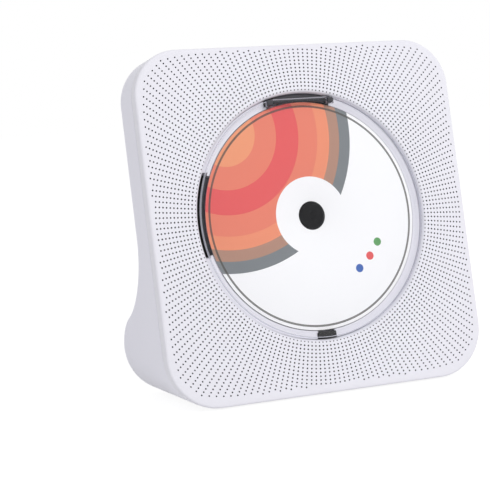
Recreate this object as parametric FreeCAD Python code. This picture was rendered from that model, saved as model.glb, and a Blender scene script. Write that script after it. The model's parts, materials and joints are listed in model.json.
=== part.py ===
"""Desk-top compact disc player: a leaning square loudspeaker face with a round disc well,
a clear hinged dust cover, and a back that flares into a foot. Millimetres, +Z up,
face towards -Y, origin on the standing surface under the middle of the player."""
import FreeCAD, Part
import math
import os

Vec = FreeCAD.Vector

# Casing
case_width = 182.0
face_top = 90.5              # disc centre to the top edge, along the face
face_bottom = 93.0           # disc centre to the bottom edge, along the face
lean = 10.0                  # degrees that the face leans back
slab_depth = 26.0            # face to back, square to the face
wall = 2.2
top_corner_radius = 25.0
bottom_corner_radius = 27.0
front_edge_radius = 1.5
rear_edge_radius = 5.0
flare_start = -2.0           # where the back begins to curve out, along the face from the disc centre
flare_radius = 40.0
flare_angle = 60.0           # steepest slope of the flare, degrees from straight down
foot_radius = 20.0
seam_depth = 5.5             # joint between front panel and rear shell, behind the face
pad_proud = 1.0              # rubber pads below the base

# Loudspeaker grille
hole_pitch = 1.95            # between rings of holes
spokes = 200
grille_hole_radius = 0.45
grille_patch_radius = 13.5   # holes go right through in front of each loudspeaker

# Disc and its well
disc_radius = 60.0
disc_hole_radius = 7.5
disc_thickness = 1.2
disc_depth = 2.6             # label side, behind the face
well_gap = 4.8               # ring between the disc and the well's wall
step_gap = 1.6               # disc's edge to the raised step round it
well_roll = 2.5              # rounding of the face into the well
lip_depth = 4.5
lip_wall = 2.2
floor_depth = 7.4
floor_thickness = 1.6
lug_reach = 7.2              # well wall to the tray screws
lug_width = 10.0
lug_angles = (50.0, 130.0, 250.0, 290.0)
boss_height = 2.0            # grommet screw bosses above the tray's floor

# Dust cover, hinge and catch
cover_gap = 0.8              # round the cover, inside the well
cover_thickness = 2.0
hinge_inset = 4.0            # pin inside the cover's rim
hinge_pin_radius = 0.5
hinge_span = 19.0            # half length of the pin
ear_width = 3.0
ear_radius = 1.5
hinge_trim = 1.8             # cover left above the pin
block_width = 3.5            # hinge block and catch, across the well's ring
block_top_depth = 3.0
catch_half_width = 5.1
recess_top = 26.5
recess_bottom = -16.5
recess_width = 6.5
recess_depth = 6.0

# Spindle
hub_radius = 7.4
hub_proud = 0.9              # hub above the label
turntable_radius = 14.5
turntable_thickness = 1.8
shaft_radius = 1.0
motor_radius = 12.2
motor_length = 10.2
bush_radius = 3.0
ball_radius = 1.0

# Mechanism plate
chassis_depth = 10.0         # front of the plate, behind the face
chassis_thickness = 1.2
chassis_left = -32.5
chassis_low = -28.0
chassis_high = 36.0
grommet_flange = 1.0
grommet_radius = 3.8
grommet_waist = 2.5
grommet_left = -28.0
grommet_rim_gap = 6.0        # right-hand grommets to the disc's rim
grommet_low_v = -24.0
grommet_high_v = 26.0

# Laser pickup and its drive
rod_radius = 1.5
rod_offset = 14.0
rod_depth = 14.6
rod_block_half = 2.6
rod_block_length = 3.5
sled_centre = 30.0
sled_half_length = 7.0
turret_half_length = 6.0
turret_half_width = 7.0
turret_top_depth = 6.4
lens_radius = 2.5
lens_height = 0.8
sled_travel_in = 6.0
disc_rim_margin = 6.0        # lens at its outer stop to the disc's rim
sled_front_depth = 12.2
sled_back_depth = 17.0
tooth_module = 0.8
gear_teeth = 20
pinion_teeth = 14
gear_centre_u = 36.0
gear_front_depth = 12.5
gear_width = 2.5
clip_thickness = 0.7
rack_gap = 0.4               # rack to the rod blocks
sled_motor_radius = 9.0
sled_motor_length = 5.5
sled_motor_gap = 0.8         # pinion to the motor's face
pinion_shaft_radius = 0.75
pinion_shaft_seat = 3.0
motor_post_radius = 1.0

# Loudspeakers
speaker_radius = 19.0
speaker_side_gap = 2.0       # flange to the side wall
speaker_floor_gap = 3.5      # flange to the bottom wall
flange_seat = 3.0            # ring of the panel that the flange rests on
cone_radius = 15.0
cloth_thickness = 0.4
cone_stroke = 0.8
cone_paper = 0.4
basket_metal = 1.4
coil_radius = 4.0
coil_gap = 0.45
coil_wall = 0.25
magnet_radius = 11.5
magnet_length = 6.5
magnet_slot = 4.5
basket_depth = 8.3           # flange to magnet
flange_thickness = 1.6

# Keys on the top edge
key_names = ("power", "previous", "play", "next", "mode")
key_step = 20.0
key_half_length = 6.0
key_radius = 3.0
key_depth = 15.0
key_proud = 0.8
key_stroke = 0.8
push_half = 3.0              # half width of the push switches
plunger_radius = 1.7
plunger_height = 0.8
key_board_thickness = 1.6
key_board_half_length = 52.0
key_board_half_width = 7.0
shelf_half = 4.0             # half width of the board's shelves
key_board_drop = 8.3         # board below the inside of the top wall

# Base, board and battery
plate_half_width = 58.0
plate_front = 2.0
plate_back = 46.0
ledge = 5.0
ledge_rim = 3.0              # ledge past the plate, under the shell's wall
ledge_height = 2.0
standoff = 4.0
board_thickness = 1.6
board_side_gap = 8.0         # board's ends inside the base plate's
board_front = 22.0
board_back = 45.0
# Each chip's place along the board, length, width and height
chips = ((-24.0, 12.0, 12.0, 1.4), (-2.0, 12.0, 10.0, 2.4), (13.0, 8.0, 8.0, 1.4))
capacitor_places = (20.8, 28.8)
capacitor_radius = 3.1
capacitor_height = 9.0
chip_margin = 2.5
battery_half_length = 36.0
battery_width = 14.0
battery_height = 11.0
battery_rounding = 1.5
base_screw_row = 8.0         # base screws from the plate's front and back edges
rib_width = 1.5
rib_height = 5.0
front_pad_step = 2.0         # pads from the plate's ends
rear_pad_step = 18.0
pad_margin = 1.0
pad_radius = 5.0
pad_inset = 1.0

# Sockets and switch on the back of the foot
dc_place = 30.0
aux_place = 10.0
usb_place = -12.0
switch_inset = 12.0          # switch from the board's end
socket_length = 11.0
dc_half = 4.5
dc_nose = 3.9
dc_bore = 2.75
dc_bore_depth = 9.0
dc_pin = 1.0
aux_half = 3.5
aux_nose = 2.9
aux_bore = 1.8
aux_bore_depth = 10.0
usb_half = 6.6
usb_height = 5.7
usb_metal = 0.4
usb_back = 3.0
usb_tongue_gap = 1.2
knob_half = 2.0
knob_rise = 1.5
knob_lip = 2.0
knob_thickness = 1.5
switch_half = 6.0
switch_length = 7.0
switch_travel = 4.0

# Screws, all one self-tapping kind, and clearances
screw_radius = 1.25
screw_head_radius = 2.4
screw_head_height = 1.6
screw_slot = 0.6
screw_bite = 4.5
pilot_gap = 0.05
screw_gap = 0.3
boss_wall = 2.0
run_gap = 0.05               # shaft in its bearing
slip_gap = 0.3               # between moving and fixed pieces
pillar_radius = 4.5
pillar_corner = 19.5         # upper pillars from the side and top edges
pillar_side = 10.5           # lower pillars from the side edges
pillar_low = -35.0           # lower pillars, along the face
pillar_meet = 9.5            # where the panel bosses meet the shell pillars

sin_lean = math.sin(math.radians(lean))
cos_lean = math.cos(math.radians(lean))
nodes = {}


def add(name, *solids):
    """Keep the solids of one piece, or of a group of like pieces, under one name."""
    nodes[name] = solids[0] if len(solids) == 1 else Part.makeCompound(list(solids))


def on_face(shape):
    """Turn a shape drawn on the face (x right, y up the face, z out of it) to stand as the face does."""
    placed = shape.copy()
    placed.rotate(Vec(0, 0, 0), Vec(1, 0, 0), 90.0 - lean)
    return placed


def rod(radius, low, high, u=0.0, v=0.0):
    return Part.makeCylinder(radius, high - low, Vec(u, v, low))


def tube(outer, inner, low, high, u=0.0, v=0.0):
    return rod(outer, low, high, u, v).cut(rod(inner, low, high, u, v))


def block(low, high):
    size = [b - a for a, b in zip(low, high)]
    return Part.makeBox(size[0], size[1], size[2], Vec(*low))


def along_x(radius, start, end, v, h):
    return Part.makeCylinder(radius, end - start, Vec(start, v, h), Vec(1, 0, 0))


def along_y(radius, low, high, x, z):
    return Part.makeCylinder(radius, high - low, Vec(x, low, z), Vec(0, 1, 0))


def post(radius, height, x, y, z):
    return Part.makeCylinder(radius, height, Vec(x, y, z))


def polar(radius, angle, u=0.0, v=0.0):
    """Point on the face at a radius and an angle in degrees from (u, v)."""
    return u + radius * math.cos(math.radians(angle)), v + radius * math.sin(math.radians(angle))


def turned(points, u=0.0, v=0.0):
    """Solid of revolution about the face normal through (u, v), from (radius, height) points."""
    wire = Part.makePolygon([Vec(r, 0, h) for r, h in points] + [Vec(points[0][0], 0, points[0][1])])
    solid = Part.Face(wire).revolve(Vec(0, 0, 0), Vec(0, 0, 1), 360)
    solid.translate(Vec(u, v, 0))
    return solid


def pill(half_length, radius, low, high):
    """Bar with round ends along x, its thickness along z."""
    flat = half_length - radius
    middle = block((-flat, -radius, low), (flat, radius, high))
    return middle.fuse([rod(radius, low, high, -flat), rod(radius, low, high, flat)]).removeSplitter()


def screw(length):
    """Self-tapping screw along z: the head's underside at 0, the point downwards."""
    shank = rod(screw_radius, -length, 0.0)
    head = rod(screw_head_radius, 0.0, screw_head_height)
    slot = block((-screw_head_radius, -screw_slot / 2, screw_head_height / 2),
                 (screw_head_radius, screw_slot / 2, screw_head_height))
    return shank.fuse(head).removeSplitter().cut(slot)


def moved(shape, x=0.0, y=0.0, z=0.0):
    copy = shape.copy()
    copy.translate(Vec(x, y, z))
    return copy


def flipped(shape):
    """Turn a shape end for end about x, so that what pointed along +z points along -z."""
    copy = shape.copy()
    copy.rotate(Vec(0, 0, 0), Vec(1, 0, 0), 180)
    return copy


def arc(start, middle, end):
    return Part.Arc(start, middle, end).toShape()


# Side profile of the casing in the y-z plane, the disc centre at (0, 0)
def up_face(v, depth):
    return v * sin_lean + depth * cos_lean, v * cos_lean - depth * sin_lean


base_z = up_face(-face_bottom, 0.0)[1]
slope = math.radians(flare_angle)
flare_y, flare_z = up_face(flare_start, slab_depth)
flare_y += flare_radius * cos_lean
flare_z -= flare_radius * sin_lean
bend_y = flare_y - (flare_radius + foot_radius) * math.cos(slope)
bend_z = flare_z - (flare_radius + foot_radius) * math.sin(slope)
foot_y = bend_y + foot_radius


def casing(inset):
    """The casing as a full solid, shrunk by inset on every side."""
    half = case_width / 2 - inset
    floor = base_z + inset
    front_v = (floor + inset * sin_lean) / cos_lean
    hollow = flare_radius + inset
    bulge = foot_radius - inset

    def at(point):
        return Vec(-half, point[0], point[1])

    def on_flare(angle):
        return flare_y - hollow * math.cos(angle), flare_z - hollow * math.sin(angle)

    def on_bend(angle):
        return bend_y + bulge * math.cos(angle), bend_z + bulge * math.sin(angle)

    tilt = math.radians(lean)
    toe = at(up_face(front_v, inset))
    brow = at(up_face(face_top - inset, inset))
    crown = at(up_face(face_top - inset, slab_depth - inset))
    curve_in = at(on_flare(-tilt))
    curve_mid = at(on_flare((slope - tilt) / 2))
    curve_out = at(on_flare(slope))
    bend_mid = at(on_bend(slope / 2))
    heel_top = at(on_bend(0.0))
    heel = at((foot_y - inset, floor))
    outline = Part.Wire([
        Part.makeLine(toe, brow), Part.makeLine(brow, crown), Part.makeLine(crown, curve_in),
        arc(curve_in, curve_mid, curve_out), arc(curve_out, bend_mid, heel_top),
        Part.makeLine(heel_top, heel), Part.makeLine(heel, toe)])
    solid = Part.Face(outline).extrude(Vec(2 * half, 0, 0))

    def is_corner(edge, miss):
        return edge.BoundBox.XLength < 1e-6 and max(miss(p.Point) for p in edge.Vertexes) < 1e-5

    def off_floor(point):
        return abs(point.z - floor)

    def off_crown(point):
        return abs(point.y * sin_lean + point.z * cos_lean - face_top + inset)

    for radius, miss in ((bottom_corner_radius, off_floor), (top_corner_radius, off_crown)):
        solid = solid.makeFillet(radius - inset, [e for e in solid.Edges if is_corner(e, miss)])

    def on_back(point):
        depth = point.y * cos_lean - point.z * sin_lean
        flat = abs(depth - slab_depth + inset) < 1e-4
        curved = abs(math.hypot(point.y - flare_y, point.z - flare_z) - hollow) < 1e-4
        bent = abs(math.hypot(point.y - bend_y, point.z - bend_z) - bulge) < 1e-4
        upright = abs(point.y - foot_y + inset) < 1e-4
        return flat or curved or bent or upright

    def is_rim(edge):
        spread = [edge.valueAt(edge.FirstParameter + t * (edge.LastParameter - edge.FirstParameter))
                  for t in (0.0, 0.3, 0.7, 1.0)]
        across = abs(spread[0].x - spread[-1].x) > half
        inland = floor + 1.0 < spread[0].z < crown.z - 1.0
        return all(on_back(p) for p in spread) and not (across and inland)

    solid = solid.makeFillet(rear_edge_radius - min(inset, 0.6 * rear_edge_radius),
                             [e for e in solid.Edges if is_rim(e)])
    if inset:
        return solid

    def on_front(edge):
        return all(abs(p.Point.y * cos_lean - p.Point.z * sin_lean) < 1e-5 for p in edge.Vertexes)

    return solid.makeFillet(front_edge_radius, [e for e in solid.Edges if on_front(e)])


reach = 2 * case_width
ahead_of_seam = on_face(block((-reach, -reach, -seam_depth), (reach, reach, reach)))
outer = casing(0.0)
cavity = casing(wall)
skin = outer.cut(cavity)

# Fixed levels on the face, measured outwards
panel_back = -wall
disc_top = -disc_depth
disc_bottom = disc_top - disc_thickness
well_floor = -floor_depth
tray_back = well_floor - floor_thickness
well_radius = disc_radius + well_gap
well_outer = well_radius + lip_wall
grommet_spots = [(u, v) for u in (grommet_left, disc_radius - grommet_rim_gap)
                 for v in (grommet_low_v, grommet_high_v)]
lug_radius = well_radius + lug_reach
chassis_front = -chassis_depth
chassis_back = chassis_front - chassis_thickness
shell_back = -(slab_depth - wall)
upper_pillar = (case_width / 2 - pillar_corner, face_top - pillar_corner)
lower_pillar = (case_width / 2 - pillar_side, pillar_low)
case_screw_spots = [(side * u, v) for u, v in (upper_pillar, lower_pillar) for side in (-1, 1)]
boss_radius = screw_radius + boss_wall
pilot_radius = screw_radius + pilot_gap
screw_hole_radius = screw_radius + screw_gap
lug_spots = [polar(lug_radius, angle) for angle in lug_angles]
speaker_u = case_width / 2 - wall - speaker_side_gap - speaker_radius
speaker_v = -(face_bottom - wall - speaker_floor_gap - speaker_radius)
speaker_spots = [(-speaker_u, speaker_v), (speaker_u, speaker_v)]
speaker_screw_circle = speaker_radius + 1.0
speaker_ear_radius = screw_head_radius + 0.6
speaker_flange_front = panel_back - cloth_thickness
speaker_flange_back = speaker_flange_front - flange_thickness
speaker_screw_spots = [(u, v + speaker_screw_circle) for u, v in speaker_spots]
speaker_screw_spots += [(u - math.copysign(speaker_screw_circle, u), v) for u, v in speaker_spots]
cloth_radius = cone_radius - 2 * slip_gap

# Front panel: face, side return, rolled well edge, bosses behind, holes before the loudspeakers
panel = skin.common(ahead_of_seam)
panel_parts = [on_face(rod(well_outer, -lip_depth, -wall / 2))]
panel_parts += [on_face(rod(boss_radius, well_floor, -wall / 2, u, v)) for u, v in lug_spots]
panel_parts += [on_face(rod(pillar_radius, -pillar_meet, -wall / 2, u, v)) for u, v in case_screw_spots]
seat_inner = speaker_radius - flange_seat
panel_parts += [on_face(tube(speaker_radius, seat_inner, speaker_flange_front, -wall / 2, u, v))
                for u, v in speaker_spots]
panel_parts += [on_face(rod(screw_head_radius, speaker_flange_front, -wall / 2, u, v))
                for u, v in speaker_screw_spots]
panel = panel.fuse(panel_parts).removeSplitter()
panel_holes = [on_face(rod(well_radius, -2 * lip_depth, 1.0))]
panel_holes += [on_face(rod(pilot_radius, well_floor - 1.0, -wall / 2, u, v)) for u, v in lug_spots]
panel_holes += [on_face(rod(pilot_radius, -pillar_meet - 1.0, -wall, u, v)) for u, v in case_screw_spots]
panel_holes += [on_face(rod(pilot_radius, speaker_flange_front - 1.0, -wall / 2, u, v))
                for u, v in speaker_screw_spots]
panel = panel.cut(panel_holes)


def is_well_edge(edge):
    if not isinstance(edge.Curve, Part.Circle):
        return False
    centre = edge.Curve.Center
    level = centre.y * cos_lean - centre.z * sin_lean
    return abs(level) < 1e-4 and abs(edge.Curve.Radius - well_radius) < 1e-4


panel = panel.makeFillet(well_roll, [e for e in panel.Edges if is_well_edge(e)])
grille_holes = []
for ring in range(int(well_radius / hole_pitch), int(case_width / hole_pitch)):
    for spoke in range(spokes):
        turn = 2 * math.pi * spoke / spokes
        u = ring * hole_pitch * math.cos(turn)
        v = ring * hole_pitch * math.sin(turn)
        if min(math.hypot(u - su, v - sv) for su, sv in speaker_spots) < grille_patch_radius:
            grille_holes.append(on_face(rod(grille_hole_radius, -2 * wall, 1.0, u, v)))
add("front_panel", panel.cut(Part.makeCompound(grille_holes)))
add("grille_cloth", *[on_face(rod(cloth_radius, speaker_flange_front, panel_back, u, v))
                      for u, v in speaker_spots])

# Rear shell: back, sides and foot, with pillars, key shelves, base opening and socket cut-outs
shell = skin.cut(ahead_of_seam)
key_board_top = face_top - wall - key_board_drop
shelf_top = key_board_top - key_board_thickness
shelf_reach = key_board_half_length - shelf_half - 1.0
shelf_spots = (-shelf_reach, shelf_reach)
shell_parts = [on_face(rod(pillar_radius, shell_back - wall / 2, -pillar_meet, u, v))
               for u, v in case_screw_spots]
shell_parts += [on_face(block((side - shelf_half, shelf_top - shelf_half, shell_back - wall / 2),
                              (side + shelf_half, shelf_top, shelf_half - key_depth)))
                for side in shelf_spots]
inner_floor = base_z + wall
base_screw_x = plate_half_width - ledge / 2
base_screw_rows = (plate_front + base_screw_row, plate_back - base_screw_row)
base_screw_spots = [(x, y) for x in (-base_screw_x, base_screw_x) for y in base_screw_rows]
ledge_frame = block((-plate_half_width - ledge_rim, plate_front - ledge_rim, base_z + wall / 2),
                    (plate_half_width + ledge_rim, plate_back + ledge_rim, inner_floor + ledge_height))
shell_parts.append(ledge_frame)
shell_parts += [post(boss_radius, screw_bite + 1.0, x, y, inner_floor) for x, y in base_screw_spots]
shell = shell.fuse(shell_parts).removeSplitter()
counterbore = screw_head_height + 1.0
shell_holes = [on_face(rod(screw_hole_radius, -slab_depth - 1.0, 0.0, u, v)) for u, v in case_screw_spots]
shell_holes += [on_face(rod(screw_head_radius + screw_gap, -slab_depth - 1.0, counterbore - slab_depth, u, v))
                for u, v in case_screw_spots]
shell_holes.append(block((-plate_half_width - slip_gap, plate_front - slip_gap, base_z - 1.0),
                         (plate_half_width + slip_gap, plate_back + slip_gap, inner_floor)))
shell_holes.append(block((-plate_half_width + ledge, plate_front + ledge, base_z),
                         (plate_half_width - ledge, plate_back - ledge, inner_floor + 2 * ledge_height)))
shell_holes += [post(pilot_radius, 2 * screw_bite, x, y, base_z) for x, y in base_screw_spots]
key_spots = [(index - (len(key_names) - 1) / 2) * key_step for index in range(len(key_names))]


def on_top(shape, u, v):
    """Stand a shape drawn along z on the top edge, its own z pointing up the face."""
    upright = shape.copy()
    upright.rotate(Vec(0, 0, 0), Vec(1, 0, 0), -90)
    upright.translate(Vec(u, v, -key_depth))
    return on_face(upright)


key_hole = pill(key_half_length + slip_gap, key_radius + slip_gap, -2 * wall, 2 * wall)
shell_holes += [on_top(key_hole, u, face_top) for u in key_spots]
shell_holes += [on_top(rod(pilot_radius, -screw_bite, 1.0), side, shelf_top) for side in shelf_spots]

# Levels of the board, its sockets and the inside of the foot's back wall
board_half_length = plate_half_width - board_side_gap
switch_place = switch_inset - board_half_length
board_low = inner_floor + standoff
board_top = board_low + board_thickness
inner_back = foot_y - wall
socket_face = foot_y - slip_gap
dc_axis = board_top + dc_half + 0.5
aux_axis = board_top + aux_half - 0.5
knob_axis = board_top + switch_half / 2
knob_slot = switch_travel / 2 + knob_half + 2 * slip_gap


shell_holes += [
    along_y(dc_nose + slip_gap, inner_back - 1.0, foot_y + 1.0, dc_place, dc_axis),
    along_y(aux_nose + slip_gap, inner_back - 1.0, foot_y + 1.0, aux_place, aux_axis),
    block((usb_place - usb_half - slip_gap, inner_back - 1.0, board_top - slip_gap),
          (usb_place + usb_half + slip_gap, foot_y + 1.0, board_top + usb_height + slip_gap)),
    block((switch_place - knob_slot, inner_back - 1.0, knob_axis - knob_rise - slip_gap),
          (switch_place + knob_slot, foot_y + 1.0, knob_axis + knob_rise + slip_gap))]
front_pad_x = plate_half_width - front_pad_step
rear_pad_x = plate_half_width - rear_pad_step
front_pad_y = plate_front - slip_gap - pad_radius - pad_margin
rear_pad_y = plate_back - pad_radius - pad_margin
pad_rows = ((front_pad_x, front_pad_y), (rear_pad_x, rear_pad_y))
pad_spots = [(side * x, y) for x, y in pad_rows for side in (-1, 1)]
pad_pockets = [post(pad_radius, 2 * pad_inset, x, y, base_z - pad_inset) for x, y in pad_spots]
add("rear_shell", shell.cut(shell_holes).cut(pad_pockets))
add("case_screws", *[on_face(moved(flipped(screw(slab_depth - counterbore - pillar_meet + screw_bite)),
                                   u, v, counterbore - slab_depth)) for u, v in case_screw_spots])

# Base plate with board standoffs and battery ribs, its screws and the rubber pads
plate = block((-plate_half_width, plate_front, base_z), (plate_half_width, plate_back, inner_floor))
standoff_radius = screw_head_radius + 0.4
board_screw_x = board_half_length - standoff_radius - 1.0
board_screw_rows = (board_front + standoff_radius + 0.5, plate_back - ledge - standoff_radius - slip_gap)
board_screw_spots = [(x, y) for x in (-board_screw_x, board_screw_x) for y in board_screw_rows]
battery_front = plate_front + ledge + slip_gap
battery_back = battery_front + battery_width
plate_parts = [post(standoff_radius, standoff + 1.0, x, y, inner_floor - 1.0) for x, y in board_screw_spots]
for x in (-battery_half_length - pilot_gap - rib_width, battery_half_length + pilot_gap):
    plate_parts.append(block((x, battery_front, inner_floor - 1.0),
                             (x + rib_width, battery_back, inner_floor + rib_height)))
plate = plate.fuse(plate_parts).removeSplitter()
plate_holes = [post(screw_hole_radius, 2 * wall, x, y, base_z - wall / 2) for x, y in base_screw_spots]
plate_holes += [post(screw_head_radius + screw_gap, screw_head_height, x, y, base_z)
                for x, y in base_screw_spots]
plate_holes += [post(pilot_radius, 2 * standoff, x, y, inner_floor) for x, y in board_screw_spots]
add("base_plate", plate.cut(plate_holes).cut(pad_pockets))
add("base_screws", *[moved(flipped(screw(screw_bite + 0.5)), x, y, base_z + screw_head_height)
                     for x, y in base_screw_spots])
add("rubber_feet", *[post(pad_radius - pilot_gap, pad_inset + pad_proud, x, y, base_z - pad_proud)
                     for x, y in pad_spots])

# Disc tray: floor, wall, raised step round the disc, screw lugs, motor hole, pickup slot and grommet bosses
sled_travel_out = disc_radius - disc_rim_margin - sled_centre
slot_in = sled_centre - turret_half_length - sled_travel_in - 1.0
slot_out = sled_centre + turret_half_length + sled_travel_out + 1.0
slot_half = turret_half_width + 1.0
block_outer_radius = well_radius - slip_gap
step_inner_radius = disc_radius + step_gap
step = tube(well_radius, step_inner_radius, well_floor, -lip_depth)
step = step.fuse(tube(block_outer_radius, step_inner_radius, -lip_depth, -block_top_depth))
step = step.cut([block((-hinge_span - 2 * slip_gap, 0.0, -reach), (hinge_span + 2 * slip_gap, reach, reach)),
                 block((-catch_half_width - slip_gap, -reach, -reach), (catch_half_width + slip_gap, 0.0, reach)),
                 block((-reach, recess_bottom - slip_gap, -reach), (0.0, recess_top + slip_gap, reach))])
tray_parts = [tube(well_outer, well_radius, tray_back, -lip_depth), step]
for angle in lug_angles:
    lug = block((well_radius, -lug_width / 2, tray_back),
                (lug_radius + lug_width / 2, lug_width / 2, well_floor))
    lug.rotate(Vec(0, 0, 0), Vec(0, 0, 1), angle)
    tray_parts.append(lug)
tray_parts += [rod(boss_radius, tray_back, well_floor + boss_height, u, v) for u, v in grommet_spots]
tray = rod(well_outer, tray_back, well_floor).fuse(tray_parts).removeSplitter()
tray_holes = [rod(turntable_radius + 1.5, tray_back - 1.0, well_floor + 1.0),
              block((slot_in, -slot_half, tray_back - 1.0), (slot_out, slot_half, well_floor + 1.0))]
tray_holes += [rod(screw_hole_radius, tray_back - 1.0, well_floor + 1.0, u, v) for u, v in lug_spots]
tray_holes += [rod(pilot_radius, tray_back - 1.0, well_floor + 0.75 * boss_height, u, v)
               for u, v in grommet_spots]
add("well_tray", on_face(tray.cut(tray_holes)))
add("tray_screws", *[on_face(moved(flipped(screw(floor_thickness + screw_bite)), u, v, tray_back))
                     for u, v in lug_spots])

# Hinge block with two ears in the well's upper edge, the steel pin, the catch and the finger recess
block_inner_radius = block_outer_radius - block_width
recess_inner_radius = block_outer_radius - recess_width
cover_radius = well_radius - cover_gap
hinge_height = cover_radius - hinge_inset
ear_out = hinge_span
ear_in = hinge_span - ear_width
hinge = tube(block_outer_radius, block_inner_radius, well_floor, -block_top_depth)
hinge = hinge.common(block((-ear_out - 0.2, 0.0, -reach), (ear_out + 0.2, reach, reach)))
ears = []
for side in (-ear_out, ear_in):
    ears.append(block((side, hinge_height - ear_radius, -block_top_depth - 2.0),
                      (side + ear_width, hinge_height + ear_radius, 0.0)))
    ears.append(along_x(ear_radius, side, side + ear_width, hinge_height, 0.0))
hinge = hinge.fuse(ears).removeSplitter().common(rod(block_outer_radius, -reach, reach))
hinge = hinge.cut(rod(disc_radius + 2 * slip_gap, -reach, disc_top + slip_gap))
pin_bore = along_x(hinge_pin_radius + pilot_gap / 2, -reach, reach, hinge_height, 0.0)
add("hinge_block", on_face(hinge.cut(pin_bore)))
add("hinge_pin", on_face(along_x(hinge_pin_radius, -hinge_span, hinge_span, hinge_height, 0.0)))
cover_half = cover_thickness / 2
catch = tube(block_outer_radius, block_inner_radius, well_floor, -cover_half - slip_gap)
add("cover_catch", on_face(catch.common(block((-catch_half_width, -reach, -reach),
                                              (catch_half_width, 0.0, reach)))))
recess = tube(block_outer_radius, recess_inner_radius, well_floor, -recess_depth)
add("finger_recess", on_face(recess.common(block((-reach, recess_bottom, -reach), (0.0, recess_top, reach)))))

# Dust cover: a clear disc on the pin, notched for the ears, its upper edge cut straight to clear the swing
cover = rod(cover_radius, -cover_half, cover_half)
cover_edges = [e for e in cover.Edges if isinstance(e.Curve, Part.Circle)]
cover = cover.makeFillet(0.35 * cover_thickness, cover_edges)
ear_gap = slip_gap + 0.1
cover_cuts = [block((-ear_out, hinge_height + hinge_trim, -reach), (ear_out, reach, reach))]
for side in (-ear_out, ear_in):
    cover_cuts.append(block((side - ear_gap, hinge_height - ear_radius - ear_gap, -reach),
                            (side + ear_width + ear_gap, reach, reach)))
cover_cuts.append(along_x(hinge_pin_radius + run_gap, -hinge_span, hinge_span, hinge_height, 0.0))
add("dust_cover", on_face(cover.cut(cover_cuts)))

# Disc, turntable with its three gripping balls, and the motor that turns them
add("disc", on_face(tube(disc_radius, disc_hole_radius, disc_bottom, disc_top)))
hub_top = disc_top + hub_proud
turntable_low = disc_bottom - turntable_thickness
hub = turned([(0, turntable_low), (turntable_radius, turntable_low), (turntable_radius, disc_bottom),
              (hub_radius, disc_bottom), (hub_radius, disc_top), (hub_radius - 1.0, hub_top), (0, hub_top)])
ball_circle = hub_radius - ball_radius - 0.2
ball_spots = [polar(ball_circle, angle) for angle in (90, 210, 330)]
ball_level = disc_bottom + disc_thickness / 2
hub_holes = [rod(shaft_radius + pilot_gap / 2, turntable_low - 1.0, disc_bottom)]
hub_holes += [Part.makeSphere(ball_radius + pilot_gap, Vec(u, v, ball_level)) for u, v in ball_spots]
add("spindle_hub", on_face(hub.cut(hub_holes)))
add("hub_balls", *[on_face(Part.makeSphere(ball_radius, Vec(u, v, ball_level))) for u, v in ball_spots])
motor_low = chassis_back - motor_length
add("spindle_shaft", on_face(rod(shaft_radius, motor_low + 1.0, disc_bottom)))
motor = rod(motor_radius, motor_low, chassis_back)
motor = motor.fuse(rod(bush_radius, chassis_back, tray_back)).removeSplitter()
motor = motor.cut(rod(shaft_radius + run_gap, motor_low + 1.0 - run_gap, tray_back + 1.0))
add("spindle_motor", on_face(motor))

# Mechanism plate on four rubber grommets, with rod blocks, gear post and motor posts
pitch_radius = tooth_module * gear_teeth / 2
pinion_pitch_radius = tooth_module * pinion_teeth / 2
rack_base = rod_offset + rod_block_half + rack_gap
rack_pitch_line = rack_base + 2.25 * tooth_module + 0.4
gear_v = rack_pitch_line + pitch_radius
pinion_u = gear_centre_u - pitch_radius - pinion_pitch_radius
gear_back_depth = gear_front_depth + gear_width
sled_motor_front = -gear_back_depth - sled_motor_gap
post_circle = sled_motor_radius - motor_post_radius - 0.3
motor_post_spots = [polar(post_circle, angle, pinion_u, gear_v) for angle in (90, 150, 210)]
sled_in = sled_centre - sled_half_length - sled_travel_in
sled_out = sled_centre + sled_half_length + sled_travel_out
rod_in = sled_in - slip_gap - rod_block_length
rod_out = sled_out + slip_gap + rod_block_length
rod_block_low = -rod_depth - rod_block_half
chassis_right = rod_out
chassis = block((chassis_left, chassis_low, chassis_back), (chassis_right, chassis_high, chassis_front))
chassis_parts = []
for v in (-rod_offset, rod_offset):
    for u in (rod_in, rod_out - rod_block_length):
        chassis_parts.append(block((u, v - rod_block_half, rod_block_low),
                                   (u + rod_block_length, v + rod_block_half, chassis_front)))
post_back = -gear_back_depth - 2 * clip_thickness
chassis_parts.append(rod(shaft_radius, post_back, chassis_front, gear_centre_u, gear_v))
chassis_parts.append(rod(2 * shaft_radius, run_gap - gear_front_depth, chassis_front, gear_centre_u, gear_v))
chassis_parts += [rod(motor_post_radius, sled_motor_front, chassis_front, u, v) for u, v in motor_post_spots]
chassis = chassis.fuse(chassis_parts).removeSplitter()
chassis_holes = [rod(bush_radius + pilot_gap, chassis_back - 1.0, chassis_front + 1.0),
                 block((slot_in, -slot_half, chassis_back - 1.0), (slot_out, slot_half, chassis_front + 1.0))]
chassis_holes += [rod(grommet_waist, chassis_back - 1.0, chassis_front + 1.0, u, v) for u, v in grommet_spots]
rod_holes = [along_x(rod_radius + pilot_gap / 2, rod_in - 1.0, rod_out + 1.0, v, -rod_depth)
             for v in (-rod_offset, rod_offset)]
add("chassis", on_face(chassis.cut(chassis_holes + rod_holes)))
grommet_low = chassis_back - grommet_flange
grommet_bore = screw_radius + pilot_gap
grommet = turned([(grommet_bore, grommet_low), (grommet_radius, grommet_low), (grommet_radius, chassis_back),
                  (grommet_waist, chassis_back), (grommet_waist, chassis_front),
                  (grommet_radius, chassis_front), (grommet_radius, tray_back), (grommet_bore, tray_back)])
add("dampers", *[on_face(moved(grommet, u, v)) for u, v in grommet_spots])
damper_screw = flipped(screw(tray_back - grommet_low + floor_thickness + boss_height / 2))
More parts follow.
